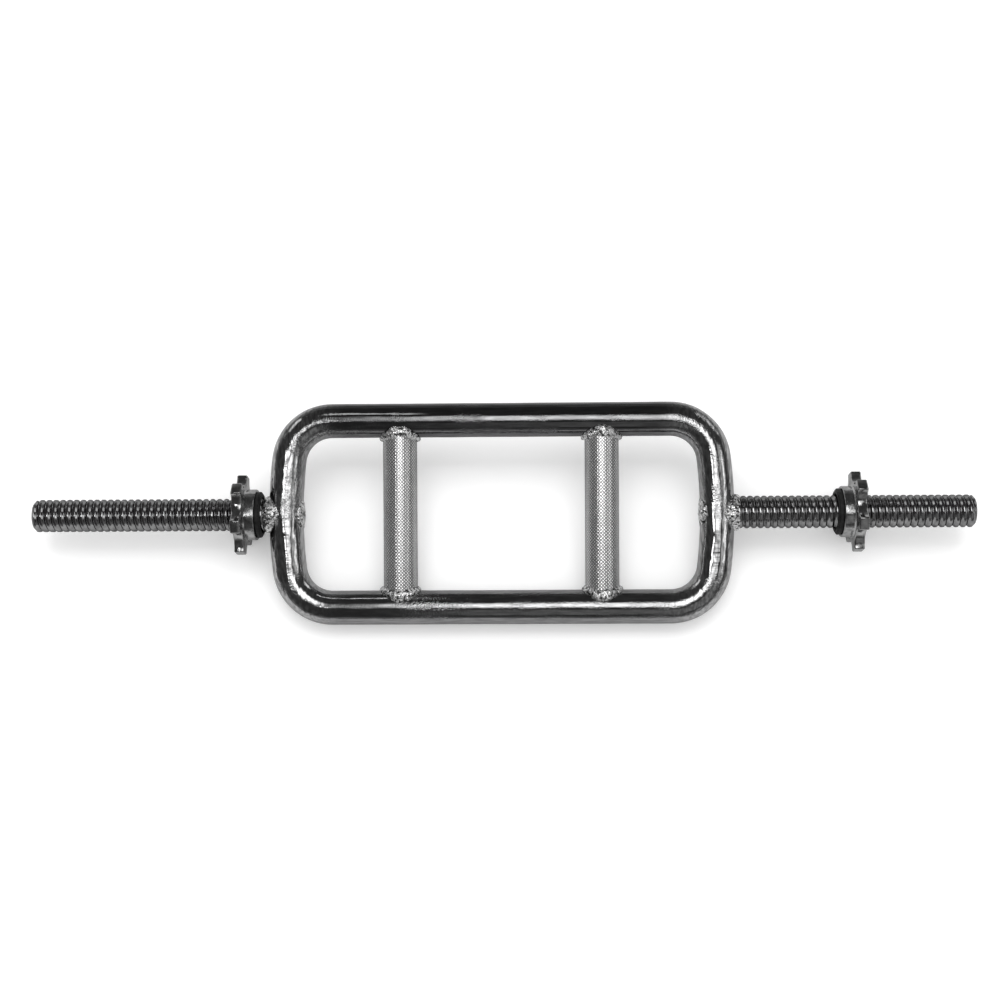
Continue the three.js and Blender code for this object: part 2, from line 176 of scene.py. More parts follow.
class WeldSizes(bpy.types.PropertyGroup):
    """The weld beads. Top is over and under the bar's plane, and side is in it"""

    grip_top_reach: length("Grip bead top reach", "Half width along the grip, on top", 0.0060)
    grip_top_rise: length("Grip bead top rise", "Half thickness, on top", 0.0036)
    grip_top_sink: length("Grip bead top sink", "How far its middle lies below the grip's skin", 0.0021)
    grip_side_reach: length("Grip bead side reach", "Half width along the grip, at the side", 0.0034)
    grip_side_rise: length("Grip bead side rise", "Half thickness, at the side", 0.0034)
    sleeve_top_reach: length("Sleeve bead top reach", "Half width along the sleeve, on top", 0.0076)
    sleeve_top_rise: length("Sleeve bead top rise", "Half thickness, on top", 0.0035)
    sleeve_top_sink: length("Sleeve bead top sink", "How far its middle lies below the thread", 0.0017)
    sleeve_side_reach: length("Sleeve bead side reach", "Half width along the sleeve, at the side", 0.0042)
    sleeve_side_rise: length("Sleeve bead side rise", "Half thickness, at the side", 0.0027)
    plug_radius: length("Plug bead radius", "Outside of the bead over the spigot's end", 0.0133)
    plug_eye: length("Plug bead eye", "Radius of the dimple in its middle", 0.0006)
    plug_top_reach: length("Plug bead top reach", "Half width along the spigot, on top", 0.0040)
    plug_side_reach: length("Plug bead side reach", "Half width along the spigot, at the side", 0.0012)
    plug_dressed: amount("Plug bead skin", "How uneven its skin was left, as a share of the others'", 0.35)
    lump: amount("Lumps", "How unevenly a bead was laid, as a share of its section", 0.12)
    crumple: length("Crumple", "Height of the folds in a bead's skin", 0.0010)
    crumple_size: length("Crumple size", "From fold to fold in a bead's skin", 0.0035)
    pit: length("Pits", "Depth of the fine pits in a bead's skin", 0.0008)
    pit_size: length("Pit size", "From pit to pit", 0.0015)


class CollarSizes(bpy.types.PropertyGroup):
    """The star collars with their rubber rings"""

    tip_diameter: length("Star tip diameter", "Over the corners of the teeth", 0.0742)
    valley_diameter: length("Star valley diameter", "Between the floors of the scallops", 0.054)
    teeth: IntProperty(name="Teeth", description="Number of teeth on a star", default=6, min=3, max=12)
    tooth_width: length("Tooth width", "Width of a tooth's tip", 0.0125)
    plate: length("Plate thickness", "Thickness of the star plate", 0.0095)
    edge: length("Edge rounding", "Rounding of the star's edges", 0.0014)
    hub_diameter: length("Hub diameter", "Outside of the hub", 0.047)
    hub_length: length("Hub length", "From the rubber to the plate", 0.01)
    hub_edge: length("Hub edge", "Rounding of the hub's edge", 0.001)
    hub_fillet: length("Hub fillet", "Fillet between hub and plate", 0.0012)
    countersink: length("Countersink", "Countersink of the tapped hole", 0.0015)
    clearance: length("Thread clearance", "Between the sleeve's thread and the nut's", 0.0005)
    rubber_diameter: length("Rubber diameter", "Outside of the rubber ring", 0.0425)
    rubber_bore: length("Rubber bore", "Bore of the rubber ring", 0.033)
    rubber_thickness: length("Rubber thickness", "From its clamping face to the hub", 0.0045)
    rubber_step_width: length("Rubber step width", "Width of the step round its face", 0.0018)
    rubber_step_depth: length("Rubber step depth", "Depth of the step round its face", 0.0012)
    rubber_edge: length("Rubber edge", "Rounding of the rubber's edges", 0.00045)
    tongue_width: length("Tongue width", "Width of the tongue in the hub's groove", 0.0026)
    tongue_depth: length("Tongue depth", "Depth of the tongue in the hub's groove", 0.0025)
    groove_gap: length("Groove gap", "Gap round the tongue", 0.0003)


class Finishes(bpy.types.PropertyGroup):
    """Colours and gloss of the surfaces"""

    chrome: colour("Chrome", "Plating of the near long tube", (0.27, 0.27, 0.272))
    # Painted shade: a darker copy of the chrome on the far long tube, standing in for the light that it
    # doesn't catch
    shaded_far_chrome: colour("Shaded far chrome", "Plating of the far long tube", (0.16, 0.16, 0.162))
    # Painted light: a lighter copy of the chrome on the bent ends, standing in for the light that they
    # catch
    lit_bend_chrome: colour("Lit bend chrome", "Brighter plating of the bent ends", (0.47, 0.47, 0.472))
    chrome_roughness: amount("Chrome roughness", "Gloss of the bright plating", 0.05)
    satin: colour("Satin chrome", "Plating of the knurl", (0.95, 0.95, 0.952))
    satin_edge_tint: amount("Satin edge tint", "How bright the knurl is at a glancing angle", 0.35)
    satin_roughness: amount("Satin roughness", "Gloss of the knurl's plating", 0.2)
    thread: colour("Thread plating", "Plating of the sleeves", (0.31, 0.31, 0.312))
    thread_edge_tint: amount("Thread edge tint", "How bright the sleeves are at a glancing angle", 0.35)
    thread_roughness: amount("Thread roughness", "Gloss of the sleeves", 0.1)
    weld: colour("Weld plating", "Plating over the beads", (0.82, 0.82, 0.82))
    weld_roughness: amount("Weld roughness", "Gloss of the beads", 0.16)
    star: colour("Star plating", "Plating of the cast stars", (0.42, 0.42, 0.42))
    star_roughness: amount("Star roughness", "Gloss of the stars", 0.12)
    edge_tint: amount("Edge tint", "How bright the plating is at a glancing angle", 0.8)
    rubber: colour("Rubber", "Moulded rubber", (0.009, 0.009, 0.009))
    rubber_roughness: amount("Rubber roughness", "Gloss of the rubber", 0.6)


class StudioSettings(bpy.types.PropertyGroup):
    """Camera, lamps and floor"""

    camera_distance: length("Camera distance", "From the lens to the bar's middle", 1.36)
    camera_elevation: FloatProperty(
        name="Camera elevation", description="Above the floor", default=math.radians(77.15), subtype="ANGLE"
    )
    camera_yaw: FloatProperty(
        name="Camera yaw", description="Round to the right end", default=math.radians(1.4), subtype="ANGLE"
    )
    camera_roll: FloatProperty(
        name="Camera roll", description="Turn about the view", default=math.radians(0.34), subtype="ANGLE"
    )
    lens: FloatProperty(name="Lens", description="Focal length in millimetres", default=53.13)
    aim_right: FloatProperty(
        name="Aim right", description="Bar's middle right of the picture's", default=0.0009, unit="LENGTH"
    )
    aim_down: FloatProperty(
        name="Aim down", description="Bar's middle below the picture's", default=0.0124, unit="LENGTH"
    )
    floor_colour: colour("Floor", "Floor colour", (0.97, 0.97, 0.97))
    # The plating sees the floor in these darker colours: a painted reflection
    floor_mirrored: colour("Floor in the plating", "Floor as the plating mirrors it", (0.66, 0.66, 0.66))
    floor_faded: colour("Far floor", "Floor as it is mirrored far from the bar", (0.16, 0.16, 0.16))
    floor_lift: amount("Floor lift", "Light that lifts the floor to white", 0.11)
    fill: amount("Fill", "Even light from all round", 0.95)
    room: colour("Room", "What the plating mirrors past the cards", (0.07, 0.07, 0.07))
    low_glow: colour("Low glow", "What it mirrors low down", (0.2, 0.2, 0.2))
    near_glow: colour("Near glow", "What it mirrors low down on the camera's side", (0.3, 0.3, 0.3))
    background: colour("Background", "Past the floor's edge", (1.0, 1.0, 1.0))
    key_power: FloatProperty(
        name="Key power", description="Soft lamp behind the bar", default=26.0, unit="POWER"
    )


# Cards that the plating mirrors: place, size, brightness and how much of it is soft edge
CARDS = {
    "Overhead card": ((0.11, -0.03, 1.75), (1.2, 1.3), 3.9, 0.8),
    "Left card": ((-0.58, -0.33, 1.75), (0.36, 0.4), 6.5, 0.6),
    "Right card": ((0.66, -0.4, 1.75), (0.5, 0.6), 1.4, 0.6),
    "Back strip": ((-0.137, 0.156, 0.184), (0.13, 0.03), 2.2, 0.5),
    "Near panel": ((0.9, -1.35, 1.2), (2.5, 1.4), 0.27, 0.28),
    "Right panel": ((1.45, -0.3, 1.25), (1.3, 1.2), 0.65, 0.5),
    "Right strip": ((1.19, -0.19, 0.85), (0.22, 0.55), 2.0, 0.25),
    "Back left panel": ((-1.9, 1.7, 0.9), (1.0, 1.6), 1.3, 0.5),
    "Back right panel": ((1.9, 1.7, 0.9), (1.0, 1.6), 1.3, 0.5),
}


# Helpers for modelling


def only(obj):
    """Selects obj alone and makes it the active one."""
    bpy.ops.object.select_all(action="DESELECT")
    obj.select_set(True)
    bpy.context.view_layer.objects.active = obj


def edit(obj, kind="VERT"):
    only(obj)
    bpy.ops.object.mode_set(mode="EDIT")
    bpy.ops.mesh.select_mode(type=kind)
    bpy.ops.mesh.select_all(action="DESELECT")


def close_edit():
    bpy.ops.object.mode_set(mode="OBJECT")


def pick(obj, kind, wanted):
    """In edit mode, selects the verts, edges or faces that wanted() is true of."""
    mesh = bmesh.from_edit_mesh(obj.data)
    for element in getattr(mesh, kind):
        element.select_set(bool(wanted(element)))
    mesh.select_flush_mode()
    bmesh.update_edit_mesh(obj.data)


def place(obj):
    """Puts the object's own turn and place into its mesh."""
    only(obj)
    bpy.ops.object.transform_apply(location=True, rotation=True, scale=True)


def modify(obj, kind, **settings):
    """Gives obj a modifier with these settings, and applies it."""
    only(obj)
    modifier = obj.modifiers.new(kind.title(), kind)
    for name, value in settings.items():
        setattr(modifier, name, value)
    bpy.ops.object.modifier_apply(modifier=modifier.name)


def merge_and_face_out(obj):
    edit(obj)
    bpy.ops.mesh.select_all(action="SELECT")
    bpy.ops.mesh.remove_doubles(threshold=MERGE_DISTANCE)
    bpy.ops.mesh.normals_make_consistent(inside=False)
    close_edit()


def extrude(step, count=1):
    """Extrudes what is selected count times, by the same step."""
    for _ in range(count):
        bpy.ops.mesh.extrude_region_move(TRANSFORM_OT_translate={"value": step})


def line(points):
    """A line of edges through the points: one vertex, extruded from point to point."""
    bpy.ops.mesh.primitive_plane_add(size=SPECK)
    obj = bpy.context.object
    edit(obj)
    bpy.ops.mesh.select_all(action="SELECT")
    bpy.ops.mesh.merge(type="CENTER")
    bpy.ops.transform.translate(value=points[0])
    for start, end in zip(points, points[1:]):
        extrude(Vector(end) - Vector(start))
    close_edit()
    return obj


def turned(profile, steps=TURNED_STEPS):
    """A closed profile of (along X, radius) pairs, turned about X."""
    obj = line([(along, radius, 0.0) for along, radius in profile])
    modify(
        obj,
        "SCREW",
        axis="X",
        angle=TURN,
        steps=steps,
        render_steps=steps,
        use_merge_vertices=True,
        merge_threshold=MERGE_DISTANCE,
    )
    merge_and_face_out(obj)
    return obj


def smooth(obj, sharp):
    """Shades obj smooth, but for the edges that are sharper than sharp."""
    only(obj)
    bpy.ops.object.shade_smooth_by_angle(angle=sharp)


def rounded(start, corner, end, radius):
    """Points of a round corner between two straight runs of a profile."""
    corner, start, end = Vector(corner), Vector(start), Vector(end)
    into, out = (start - corner).normalized(), (end - corner).normalized()
    half = into.angle(out) / 2
    setback = radius / math.tan(half)
    centre = corner + (into + out).normalized() * radius / math.sin(half)
    first, last = corner + into * setback - centre, corner + out * setback - centre
    shares = (step / ROUNDING_STEPS for step in range(ROUNDING_STEPS + 1))
    return [tuple(centre + first.lerp(last, share).normalized() * radius) for share in shares]


def with_round_corners(points):
    """A profile, in which a point's third number is the radius that it is rounded to."""
    shaped = []
    for index, (along, radius, *rounding) in enumerate(points):
        if rounding:
            before, after = points[index - 1], points[(index + 1) % len(points)]
            shaped += rounded(before[:2], (along, radius), after[:2], *rounding)
        else:
            shaped.append((along, radius))
    return shaped


def screw_thread(crest_radius, depth, pitch, start, end):
    """A round bar with a right-hand thread, cut off square at start and end on X. The crest passes
    through +Y at x = 0."""
    half = [(share * pitch, crest_radius - drop * depth) for share, drop in THREAD_SHARES]
    profile = [(-along, radius) for along, radius in reversed(half[1:])] + half
    first = math.floor(start / pitch) - 1
    turns = math.ceil(end / pitch) + 2 - first
    bar = line([(first * pitch + along, radius, 0.0) for along, radius in profile])
    modify(
        bar,
        "SCREW",
        axis="X",
        angle=TURN,
        screw_offset=pitch,
        iterations=turns,
        steps=THREAD_STEPS,
        render_steps=THREAD_STEPS,
        use_merge_vertices=True,
        merge_threshold=MERGE_DISTANCE,
    )
    edit(bar)
    for at, sign in ((start, -1), (end, 1)):
        bpy.ops.mesh.select_all(action="SELECT")
        bpy.ops.mesh.bisect(
            plane_co=(at, 0, 0), plane_no=(sign, 0, 0), use_fill=True, clear_outer=True
        )
    close_edit()
    merge_and_face_out(bar)
    return bar


def boolean(obj, other, operation):
    """Joins, cuts or intersects obj with other, which is used up."""
    modify(obj, "BOOLEAN", object=other, operation=operation, solver="EXACT")
    bpy.data.objects.remove(other)


def clouds(name, size, depth):
    """A lumpy solid pattern, found again by name so that neighbours share it."""
    pattern = bpy.data.textures.get(name) or bpy.data.textures.new(name, "CLOUDS")
    pattern.noise_scale = size
    pattern.noise_depth = depth
    return pattern


def displace(obj, pattern, height):
    modify(
        obj,
        "DISPLACE",
        texture=pattern,
        texture_coords="LOCAL",
        direction="NORMAL",
        mid_level=0.5,
        strength=height,
    )


# Pieces of the bar


class Layout:
    """The sizes, and the places that follow from them and from the frame."""

    def __init__(self, scene):
        self.tube, self.sleeve = scene.frame_sizes, scene.sleeve_sizes
        self.welds, self.collar = scene.weld_sizes, scene.collar_sizes
        self.finishes = scene.finishes
        tube, sleeve = self.tube, self.sleeve
        self.tube_radius = tube.tube_diameter / 2
        self.grip_radius = tube.grip_diameter / 2
        self.sleeve_radius = sleeve.diameter / 2
        self.spigot_radius = sleeve.spigot_diameter / 2
        self.long_y = tube.frame_width / 2 - self.tube_radius
        self.end_x = tube.frame_length / 2 - self.tube_radius
        self.grip_x = tube.grip_spacing / 2
        self.seam_x = tube.seam_weld_width / 2
        self.shoulder_x = self.end_x + self.tube_radius + sleeve.shoulder_gap
        self.spigot_end_x = self.end_x - self.tube_radius - sleeve.spigot_standout
        low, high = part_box("left_sleeve")
        self.axis_height = (low.z + high.z) / 2
        self.lean = math.asin((self.axis_height - self.tube_radius) / self.long_y)
        self.sleeve_end_x = cad_box[1][0]
        self.bow_centre_x = self.end_x - tube.bow_radius
        self.corner_y = self.long_y - tube.corner_radius
        reach = tube.bow_radius - tube.corner_radius
        self.corner_x = self.bow_centre_x + math.sqrt(reach ** 2 - self.corner_y ** 2)
        self.bow_angle = math.atan2(self.corner_y, self.corner_x - self.bow_centre_x)


def tube_ring(layout, x, y):
    """A ring of the frame tube about X, from which a run of tube is extruded. It stays inside the
    tube's own size by as much as its skin ripples."""
    radius = layout.tube_radius - layout.tube.tube_ripple / 2
    bpy.ops.mesh.primitive_circle_add(
        vertices=TUBE_SIDES, radius=radius, location=(x, y, 0), rotation=(0, QUARTER, 0)
    )
    ring = bpy.context.object
    place(ring)
    return ring


def cut_round_hole(obj, radius, depth, centre):
    """Cuts a round hole along X through obj."""
    bpy.ops.mesh.primitive_cylinder_add(
        vertices=TUBE_SIDES, radius=radius, depth=depth, location=centre, rotation=(0, QUARTER, 0)
    )
    cutter = bpy.context.object
    place(cutter)
    boolean(obj, cutter, "DIFFERENCE")


def give_wall(obj, layout):
    """Ripples the tube's skin a little and gives it its wall."""
    ripple = clouds("Tube ripple", layout.tube.ripple_length, RIPPLE_OCTAVES)
    displace(obj, ripple, layout.tube.tube_ripple)
    modify(obj, "SOLIDIFY", thickness=layout.tube.tube_wall, offset=-1, use_even_offset=True)
    merge_and_face_out(obj)


def bent_tube(layout, side):
    """Half of the frame: straight, corner, bowed end, corner, straight."""
    tube = tube_ring(layout, side * layout.seam_x, layout.long_y)
    run = side * (layout.corner_x - layout.seam_x)
    corner_angle = QUARTER - layout.bow_angle
    edit(tube)
    bpy.ops.mesh.select_all(action="SELECT")
    extrude((run / STRAIGHT_STEPS, 0, 0), STRAIGHT_STEPS)
    bends = [
        (CORNER_STEPS, corner_angle, layout.corner_x, layout.corner_y),
        (BOW_STEPS, 2 * layout.bow_angle, layout.bow_centre_x, 0),
        (CORNER_STEPS, corner_angle, layout.corner_x, -layout.corner_y),
    ]
    for steps, angle, x, y in bends:
        bpy.ops.mesh.spin(steps=steps, angle=side * angle, center=(side * x, y, 0), axis=(0, 0, 1))
    extrude((-run / STRAIGHT_STEPS, 0, 0), STRAIGHT_STEPS)
    close_edit()
    merge_and_face_out(tube)
    give_wall(tube, layout)
    hole_radius = layout.spigot_radius + layout.sleeve.spigot_gap
    cut_round_hole(tube, hole_radius, 2 * layout.tube.tube_diameter, (side * layout.end_x, 0, 0))
    smooth(tube, TUBE_SHARP)
    return tube


def seam_weld(layout, across):
    """The dressed weld that joins the two halves in a long tube."""
    ring = tube_ring(layout, -layout.seam_x, across * layout.long_y)
    edit(ring)
    bpy.ops.mesh.select_all(action="SELECT")
    extrude((2 * layout.seam_x / SEAM_STEPS, 0, 0), SEAM_STEPS)
    close_edit()
    merge_and_face_out(ring)
    give_wall(ring, layout)
    smooth(ring, TUBE_SHARP)
    return ring


def knurled_grip(layout, side):
    """A grip tube with a real diamond knurl, coped to the long tubes at both ends."""
    sizes = layout.tube
    end = layout.long_y - sizes.grip_setback
    centre = (side * layout.grip_x, 0, 0)
    columns = 2 * round(math.pi * sizes.grip_diameter / sizes.knurl_pitch)
    rows = 2 * KNURL_ROW_BLOCKS * round(end / sizes.knurl_pitch * 2 / KNURL_ROW_BLOCKS)
    bpy.ops.mesh.primitive_cylinder_add(
        vertices=columns,
        radius=layout.grip_radius,
        depth=2 * end,
        end_fill_type="NOTHING",
        location=centre,
        rotation=(QUARTER, 0, 0),
    )
    grip = bpy.context.object
    place(grip)
    edit(grip, "EDGE")
    row_step = 2 * end / rows
    for cuts in (KNURL_ROW_BLOCKS - 1, rows // KNURL_ROW_BLOCKS - 1):
        pick(grip, "edges", lambda edge: abs(edge.verts[0].co.y - edge.verts[1].co.y) > row_step / 2)
        bpy.ops.mesh.subdivide(number_cuts=cuts)
    bpy.ops.mesh.select_mode(type="VERT")

    def in_groove(vert):
        angle = math.atan2(vert.co.z, vert.co.x - centre[0])
        return (round(angle / TURN * columns) + round((vert.co.y + end) / row_step)) % 2

    pick(grip, "verts", in_groove)
    groove = (layout.grip_radius - sizes.knurl_depth) / layout.grip_radius
    bpy.ops.transform.resize(value=(groove, 1, groove), center_override=centre)
    bpy.ops.mesh.select_all(action="SELECT")
    bpy.ops.mesh.quads_convert_to_tris(quad_method="SHORTEST_DIAGONAL")
    bpy.ops.mesh.select_mode(type="EDGE")
    bore = (layout.grip_radius - sizes.grip_wall) / layout.grip_radius
    pick(grip, "edges", lambda edge: edge.is_boundary)
    bpy.ops.mesh.extrude_region_move(TRANSFORM_OT_translate={"value": (0, 0, 0)})
    bpy.ops.transform.resize(value=(bore, 1, bore), center_override=centre)
    pick(grip, "edges", lambda edge: edge.is_boundary)
    bpy.ops.mesh.bridge_edge_loops()
    close_edit()
    merge_and_face_out(grip)
    cope_radius = layout.tube_radius + sizes.cope_gap
    for across in (-1, 1):
        mouth = (centre[0], across * layout.long_y, 0)
        cut_round_hole(grip, cope_radius, 2 * sizes.grip_diameter, mouth)
    return grip


def saddle_bead(layout, top, flank, phase):
    """A lumpy ring of weld about Y. top and flank give the section's middle radius, half thickness,
    place along Y and half width there, and the section blends from one to the other."""
    section = 0.5
    bpy.ops.mesh.primitive_torus_add(
        major_segments=BEAD_STEPS,
        minor_segments=BEAD_SECTION_STEPS,
        major_radius=1.0,
        minor_radius=section,
    )
    bead = bpy.context.object
    for vert in bead.data.vertices:
        x, y, z = vert.co
        around = math.atan2(y, x)
        outward, along = (math.hypot(x, y) - 1) / section, z / section
        share = math.cos(around) ** 2
        radius, rise, middle, reach = (a + (b - a) * share for a, b in zip(top, flank))
        coarse = math.sin(COARSE_LUMPS * around + phase)
        fine = math.sin(FINE_LUMPS * around + 2 * phase)
        lump = 1 + layout.welds.lump * (coarse + fine) / 2
        ring = radius + rise * outward * lump
        vert.co = (ring * math.cos(around), middle + reach * along * lump, -ring * math.sin(around))
    merge_and_face_out(bead)
    return bead


def crumple(bead, layout, share=1.0):
    """Folds and pits a bead's skin, to a share of the usual height where it was dressed."""
    welds = layout.welds
    displace(bead, clouds("Bead folds", welds.crumple_size, BEAD_OCTAVES), welds.crumple * share)
    displace(bead, clouds("Bead pits", welds.pit_size, BEAD_OCTAVES), welds.pit * share)
    only(bead)
    bpy.ops.object.shade_smooth()


def grip_bead(layout, side, across, phase):
    """The bead where a grip meets a long tube."""
    tube, welds = layout.tube, layout.welds
    top = (
        layout.grip_radius - welds.grip_top_sink,
        welds.grip_top_rise,
        layout.long_y - tube.grip_setback - welds.grip_top_sink,
        welds.grip_top_reach,
    )
    flank = (
        layout.grip_radius,
        welds.grip_side_rise,
        layout.long_y - layout.tube_radius,
        welds.grip_side_reach,
    )
    bead = saddle_bead(layout, top, flank, phase)
    bead.rotation_euler.z = 0 if across > 0 else math.pi
    bead.location.x = side * layout.grip_x
    place(bead)
    crumple(bead, layout)
    return bead


def sleeve_bead(layout, side, phase):
    """The bead between a sleeve's shoulder and the end tube."""
    welds = layout.welds
    top = (
        layout.sleeve_radius - welds.sleeve_top_sink,
        welds.sleeve_top_rise,
        -layout.shoulder_x + welds.sleeve_side_reach,
        welds.sleeve_top_reach,
    )
    flank = (
        layout.sleeve_radius - welds.sleeve_top_sink / 2,
        welds.sleeve_side_rise,
        -layout.shoulder_x,
        welds.sleeve_side_reach,
    )
    bead = saddle_bead(layout, top, flank, phase)
    bead.rotation_euler.z = side * QUARTER
    place(bead)
    crumple(bead, layout)
    return bead


def plug_bead(layout, side, phase):
    """The dressed bead over the spigot's end, inside the frame. It follows the tube's round flank."""
    welds = layout.welds
    inner = layout.end_x - layout.tube_radius
    fall_away = layout.tube_radius - math.sqrt(layout.tube_radius ** 2 - layout.spigot_radius ** 2)
    middle = (welds.plug_radius + welds.plug_eye) / 2
    rise = (welds.plug_radius - welds.plug_eye) / 2
    top = (middle, rise, inner + fall_away, welds.plug_top_reach)
    flank = (middle, rise, inner + welds.plug_side_reach / 2, welds.plug_side_reach)
    bead = saddle_bead(layout, top, flank, phase)
    bead.rotation_euler.z = -side * QUARTER
    place(bead)
    crumple(bead, layout, welds.plug_dressed)
    return bead


def threaded_sleeve(layout, side):
    """A screw cut to a turned blank with a plain spigot and a chamfered end."""
    sizes = layout.sleeve
    blank_radius = layout.sleeve_radius + sizes.depth
    over = blank_radius - layout.sleeve_radius
    blank = turned([
        (layout.spigot_end_x, 0.0),
        (layout.spigot_end_x, layout.spigot_radius),
        (layout.shoulder_x, layout.spigot_radius),
        (layout.shoulder_x, blank_radius),
        (layout.sleeve_end_x - sizes.chamfer - over, blank_radius),
        (layout.sleeve_end_x, layout.sleeve_radius - sizes.chamfer),
        (layout.sleeve_end_x, 0.0),
    ])
    blank.rotation_euler.z = 0 if side > 0 else math.pi
    place(blank)
    inner_end, outer_end = layout.spigot_end_x - sizes.pitch, layout.sleeve_end_x + sizes.pitch
    ends = sorted((side * inner_end, side * outer_end))
    thread = screw_thread(layout.sleeve_radius, sizes.depth, sizes.pitch, *ends)
    boolean(thread, blank, "INTERSECT")
    smooth(thread, THREAD_SHARP)
    return thread


def star_outline(sizes):
    """Points round a star plate: straight tooth tips, and a round scallop between two teeth."""
    pitch_angle = TURN / sizes.teeth
    tip_radius, valley_radius = sizes.tip_diameter / 2, sizes.valley_diameter / 2
    corner_angle = pitch_angle / 2 - math.asin(sizes.tooth_width / sizes.tip_diameter)
    along, across = tip_radius * math.cos(corner_angle), tip_radius * math.sin(corner_angle)
    rise = along - valley_radius
    scallop = (rise ** 2 + across ** 2) / (2 * rise)
    centre = valley_radius + scallop
    sweep = math.atan2(across, centre - along)
    points = []
    for tooth in range(sizes.teeth):
        bisector = QUARTER + (tooth + 0.5) * pitch_angle
        for step in range(SCALLOP_STEPS + 1):
            angle = math.pi + sweep - 2 * sweep * step / SCALLOP_STEPS
            point = Vector((centre + scallop * math.cos(angle), scallop * math.sin(angle)))
            turned_x = point.x * math.cos(bisector) - point.y * math.sin(bisector)
            turned_y = point.x * math.sin(bisector) + point.y * math.cos(bisector)
            points.append((turned_x, turned_y))
    return points


def collar_stations(sizes):
    """Distances along a collar from the rubber's clamping face: hub face, plate, outer face."""
    hub = sizes.rubber_thickness + sizes.groove_gap
    plate = hub + sizes.hub_length
    return hub, plate, plate + sizes.plate


def star_nut(layout, side, face_x):
    """Star plate and hub in one casting, tapped in step with the sleeve's thread."""
    sizes, sleeve = layout.collar, layout.sleeve
    hub_start, plate_start, outer_face = collar_stations(sizes)

    # The outline is drawn in the plane x = plate_start: its first coordinate is -Z, its second Y.
    star = line([(plate_start, y, -z) for z, y in star_outline(sizes)])
    edit(star)
    bpy.ops.mesh.select_all(action="SELECT")
    bpy.ops.mesh.edge_face_add()
    extrude((sizes.plate, 0, 0))
    close_edit()
    merge_and_face_out(star)
    modify(
        star,
        "BEVEL",
        width=sizes.edge,
        segments=BEVEL_STEPS,
        limit_method="ANGLE",
        angle_limit=BEVEL_SHARP,
        use_clamp_overlap=True,
    )

    hub_radius = sizes.hub_diameter / 2
    tongue_middle = (sizes.rubber_diameter + sizes.rubber_bore) / 4
    groove_half = sizes.tongue_width / 2 + sizes.groove_gap
    groove_floor = hub_start + sizes.tongue_depth
    foot_radius = hub_radius + FILLET_SPREAD * sizes.hub_fillet
    outline = [
        (hub_start, 0.0),
        (hub_start, tongue_middle - groove_half),
        (groove_floor, tongue_middle - groove_half),
        (groove_floor, tongue_middle + groove_half),
        (hub_start, tongue_middle + groove_half),
        (hub_start, hub_radius, sizes.hub_edge),
        (plate_start - sizes.hub_fillet, hub_radius),
        (plate_start + sizes.hub_fillet / 2, foot_radius),
        (plate_start + sizes.plate / 2, foot_radius),
        (plate_start + sizes.plate / 2, 0.0),
    ]
    hub = turned(with_round_corners(outline))
    boolean(star, hub, "UNION")

    mouth = layout.sleeve_radius + sizes.clearance
    over = sizes.countersink
    countersink = turned([
        (outer_face - sizes.countersink, 0.0),
        (outer_face - sizes.countersink, mouth),
        (outer_face + over, mouth + sizes.countersink + over),
        (outer_face + over, 0.0),
    ])
    boolean(star, countersink, "DIFFERENCE")
    star.rotation_euler.z = 0 if side > 0 else math.pi
    star.location.x = face_x
    place(star)
    ends = sorted((face_x, face_x + side * (outer_face + over)))
    tap = screw_thread(mouth, sleeve.depth, sleeve.pitch, *ends)
    tap.rotation_euler.x = layout.lean
    place(tap)
    boolean(star, tap, "DIFFERENCE")
    star.location.z = layout.axis_height
    smooth(star, COLLAR_SHARP)
    return star


def rubber_ring(layout, side, face_x):
    """A rubber ring with a stepped clamping face and a tongue in the hub's groove."""
    sizes = layout.collar
    outer, bore = sizes.rubber_diameter / 2, sizes.rubber_bore / 2
    back = sizes.rubber_thickness
    middle, half = (outer + bore) / 2, sizes.tongue_width / 2
    tongue_end = back + sizes.tongue_depth
    edge = sizes.rubber_edge
    outline = [
        (0.0, bore, edge),
        (0.0, outer - sizes.rubber_step_width, edge),
        (sizes.rubber_step_depth, outer - sizes.rubber_step_width, edge),
        (sizes.rubber_step_depth, outer, edge),
        (back, outer, edge),
        (back, middle + half),
        (tongue_end, middle + half),
        (tongue_end, middle - half),
        (back, middle - half),
        (back, bore),
    ]
    profile = with_round_corners(outline)
    ring = turned(profile + profile[:1])
    ring.rotation_euler.z = 0 if side > 0 else math.pi
    ring.location = (face_x, 0, layout.axis_height)
    smooth(ring, COLLAR_SHARP)
    return ring


# Surfaces

